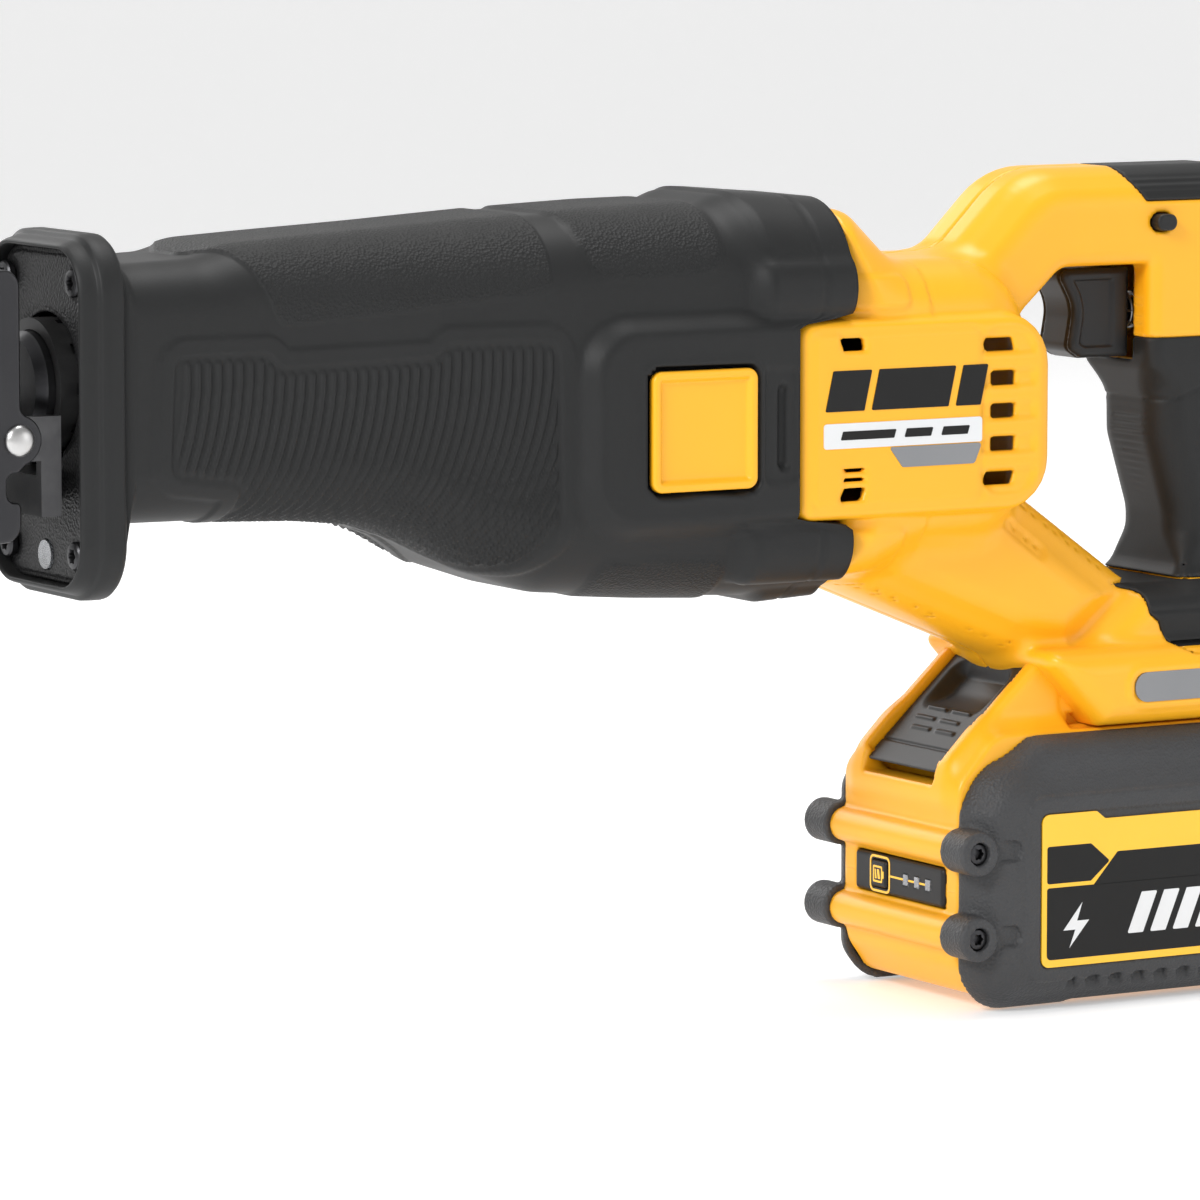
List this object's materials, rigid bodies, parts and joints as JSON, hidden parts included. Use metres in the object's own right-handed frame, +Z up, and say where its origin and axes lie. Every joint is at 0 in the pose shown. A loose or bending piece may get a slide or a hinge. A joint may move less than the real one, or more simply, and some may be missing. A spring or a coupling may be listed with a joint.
{
  "type": "cordless reciprocating saw",
  "caption": "Cordless reciprocating saw with a ribbed rubber nose boot, pivoting shoe, D-handle with trigger and a slide-on battery pack under the handle.",
  "frame": {"origin": "centre of the battery pack's flat base, on which the saw is set down", "axes": "-X points to the blade end, -Y to the tool's left side with the shoe release button, +Z up through the handle"},
  "size_m": [0.454, 0.0884, 0.2438],
  "materials": {
    "yellow_plastic": "satin",
    "black_rubber": "matte",
    "black_plastic": "satin",
    "charcoal_plastic": "textured",
    "gear_housing": "cast",
    "dark_steel": "blackened",
    "bright_steel": "ground",
    "zinc_steel": "plated",
    "copper_wire": "enamelled",
    "bronze": "sintered",
    "lamp_lens": "clear",
    "label_film": "printed",
    "grey_badge": "satin",
    "green_board": "coated",
    "cell_wrap": "sleeved",
    "wire_cover": "smooth"
  },
  "bodies": {
    "housing": {"housing_left": "yellow_plastic", "housing_right": "yellow_plastic", "rubber_boot": "black_rubber", "gearcase": "gear_housing", "gearcase_cover": "gear_housing", "nose_plate": "dark_steel", "nose_screws": "dark_steel", "worklight_lens": "lamp_lens", "plunger_bushings": "bronze", "plunger_seal": "black_rubber", "gear_bearings": "bright_steel", "motor_bearings": "bright_steel", "stator_core": "dark_steel", "stator_windings": "copper_wire", "control_module": "black_plastic", "switch_body": "black_plastic", "terminal_block": "black_plastic", "terminal_blades": "bright_steel", "power_leads": "wire_cover", "handle_top_overmold": "black_rubber", "grip_overmold": "black_rubber", "base_overmold": "black_rubber", "name_plates": "label_film", "foot_badges": "grey_badge", "housing_screws": "dark_steel", "trigger_spring": "bright_steel", "release_spring": "bright_steel"},
    "rotor": {"rotor_shaft": "bright_steel", "rotor_core": "dark_steel", "cooling_fan": "black_plastic", "pinion_gear": "bright_steel"},
    "crank": {"drive_gear": "bright_steel", "gear_spindle": "bright_steel", "crank_pin": "bright_steel", "crank_roller": "bright_steel"},
    "plunger": {"reciprocating_shaft": "bright_steel", "blade_clamp": "dark_steel"},
    "clamp_sleeve": {"clamp_sleeve": "black_plastic"},
    "shoe_post": {"shoe_post": "dark_steel", "shoe_rivets": "zinc_steel"},
    "shoe": {"pivoting_shoe": "dark_steel"},
    "release_button": {"shoe_release_button": "yellow_plastic", "shoe_latch_bar": "zinc_steel"},
    "trigger": {"trigger": "black_plastic"},
    "lock_off": {"lock_off_button": "black_plastic"},
    "battery": {"battery_core": "yellow_plastic", "battery_bumper_left": "charcoal_plastic", "battery_bumper_right": "charcoal_plastic", "battery_screws": "dark_steel", "battery_cells": "cell_wrap", "cell_holders": "black_plastic", "battery_board": "green_board", "battery_contacts": "bright_steel", "gauge_panel": "black_plastic", "gauge_lights": "lamp_lens", "battery_labels": "label_film", "latch_spring": "bright_steel"},
    "latch": {"latch_button": "black_plastic"},
    "gauge_button": {"gauge_button": "black_plastic"}
  },
  "joints": [
    {"name": "crank_spin", "type": "hinge", "parent": "housing", "child": "crank", "pos_m": [-0.161, 0, 0.16], "axis": [0, 0, 1], "continuous": true},
    {"name": "rotor_spin", "type": "hinge", "parent": "housing", "child": "rotor", "pos_m": [-0.09, 0, 0.178], "axis": [1, 0, 0], "continuous": true},
    {"name": "plunger_slide", "type": "slide", "parent": "housing", "child": "plunger", "axis": [1, 0, 0], "range_m": [-0.0143, 0.0143]},
    {"name": "clamp_sleeve_turn", "type": "hinge", "parent": "plunger", "child": "clamp_sleeve", "pos_m": [-0.342, 0, 0.193], "axis": [1, 0, 0], "range_deg": [0, 40], "stiffness_Nm_per_rad": 0.15, "springref_deg": -17.19},
    {"name": "shoe_post_slide", "type": "slide", "parent": "housing", "child": "shoe_post", "axis": [-1, 0, 0], "range_m": [0, 0.03]},
    {"name": "shoe_tilt", "type": "hinge", "parent": "shoe_post", "child": "shoe", "pos_m": [-0.3638, 0, 0.1807], "axis": [0, 1, 0], "range_deg": [-15, 15]},
    {"name": "release_button_press", "type": "slide", "parent": "housing", "child": "release_button", "axis": [0, 1, 0], "range_m": [0, 0.0028], "stiffness_N_per_m": 900, "springref_m": -0.002, "deforming": ["release_spring"]},
    {"name": "trigger_pull", "type": "slide", "parent": "housing", "child": "trigger", "axis": [1, 0, 0], "range_m": [0, 0.008], "stiffness_N_per_m": 700, "springref_m": -0.003, "deforming": ["trigger_spring"]},
    {"name": "lock_off_slide", "type": "slide", "parent": "housing", "child": "lock_off", "axis": [0, 1, 0], "range_m": [0, 0.004]},
    {"name": "battery_slide", "type": "slide", "parent": "housing", "child": "battery", "axis": [-1, 0, 0], "range_m": [0, 0.09]},
    {"name": "latch_press", "type": "slide", "parent": "battery", "child": "latch", "axis": [0.6757, 0, -0.7372], "range_m": [0, 0.004], "stiffness_N_per_m": 1200, "springref_m": -0.002, "deforming": ["latch_spring"]},
    {"name": "gauge_button_press", "type": "slide", "parent": "battery", "child": "gauge_button", "axis": [1, 0, 0], "range_m": [0, 0.0008], "stiffness_N_per_m": 1500, "springref_m": -0.0005}
  ],
  "couplings": [
    {"joint": "rotor_spin", "follows": "crank_spin", "ratio": 5}
  ]
}
